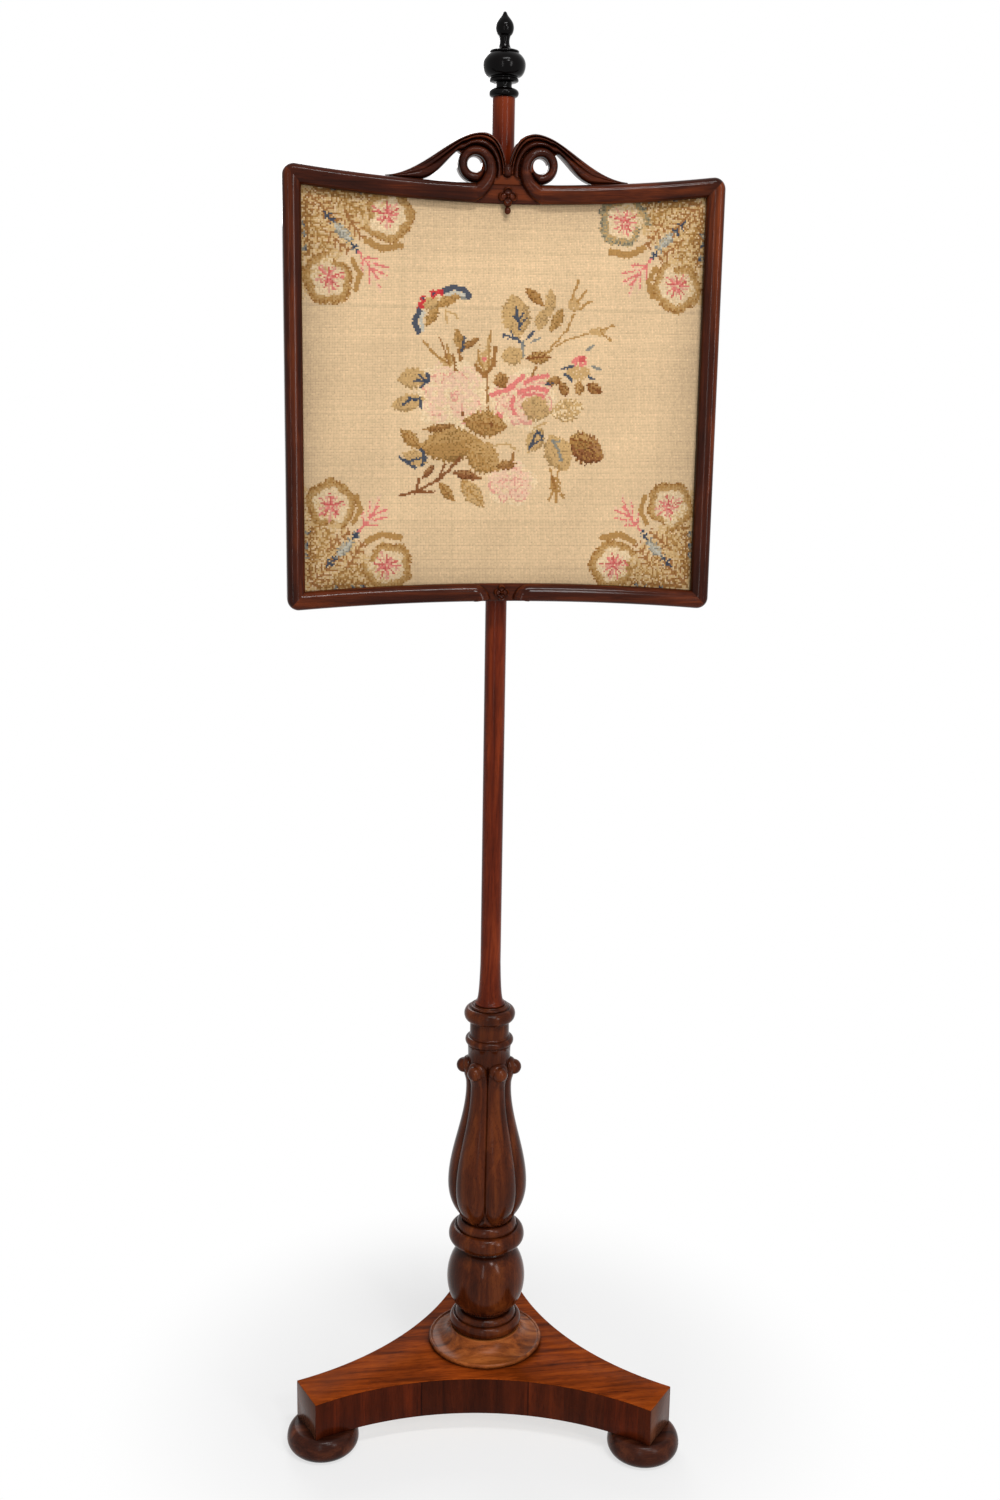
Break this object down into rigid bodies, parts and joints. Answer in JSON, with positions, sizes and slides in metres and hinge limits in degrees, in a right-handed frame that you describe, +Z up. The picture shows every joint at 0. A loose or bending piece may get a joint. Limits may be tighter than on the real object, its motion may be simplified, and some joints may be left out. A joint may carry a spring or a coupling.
{
  "type": "pole screen",
  "caption": "Pole screen: a needlework panel in a carved frame that slides and turns on a pole over a carved column and a hollow-sided platform.",
  "frame": {"origin": "on the floor under the pole's axis", "axes": "+Z up along the pole, the screen's face towards -Y, +X to the right seen from the front"},
  "size_m": [0.4209, 0.3715, 1.45],
  "materials": {
    "rosewood": "polished",
    "pole_wood": "polished",
    "top_veneer": "polished",
    "ebonised_wood": "gloss",
    "deal": "raw",
    "needlework": "woven",
    "lining": "woven",
    "brass": "worn",
    "iron": "dull",
    "leather": "worn"
  },
  "bodies": {
    "stand": {"platform_core": "deal", "platform_top_veneer": "top_veneer", "front_side_veneer": "rosewood", "right_side_veneer": "rosewood", "left_side_veneer": "rosewood", "front_left_end_veneer": "rosewood", "front_right_end_veneer": "rosewood", "rear_end_veneer": "rosewood", "front_left_foot": "rosewood", "front_right_foot": "rosewood", "rear_foot": "rosewood", "base_collar": "rosewood", "column": "rosewood", "tenon_wedge": "deal", "pole": "pole_wood", "finial": "ebonised_wood"},
    "slides": {"upper_bush": "leather", "lower_bush": "leather"},
    "screen": {"top_rail": "rosewood", "bottom_rail": "rosewood", "left_stile": "rosewood", "right_stile": "rosewood", "corner_dowels": "deal", "crest": "rosewood", "top_patera": "rosewood", "bottom_patera": "rosewood", "needlework": "needlework", "strainer_top_bar": "deal", "strainer_bottom_bar": "deal", "strainer_left_bar": "deal", "strainer_right_bar": "deal", "back_lining": "lining", "lining_tacks": "brass", "panel_brads": "iron", "upper_slide_bracket": "brass", "lower_slide_bracket": "brass", "upper_slide_screws": "brass", "lower_slide_screws": "brass"},
    "thumbscrew": {"thumbscrew": "brass"}
  },
  "joints": [
    {"name": "screen_height", "type": "slide", "parent": "stand", "child": "slides", "axis": [0, 0, 1], "range_m": [-0.385, 0.075]},
    {"name": "screen_turn", "type": "hinge", "parent": "slides", "child": "screen", "pos_m": [0, 0, 1.1], "axis": [0, 0, 1], "continuous": true},
    {"name": "thumbscrew_turn", "type": "hinge", "parent": "screen", "child": "thumbscrew", "pos_m": [-0.00313, 0.01975, 1.28875], "axis": [-0.1564, 0.9877, 0], "range_deg": [0, 720]}
  ]
}
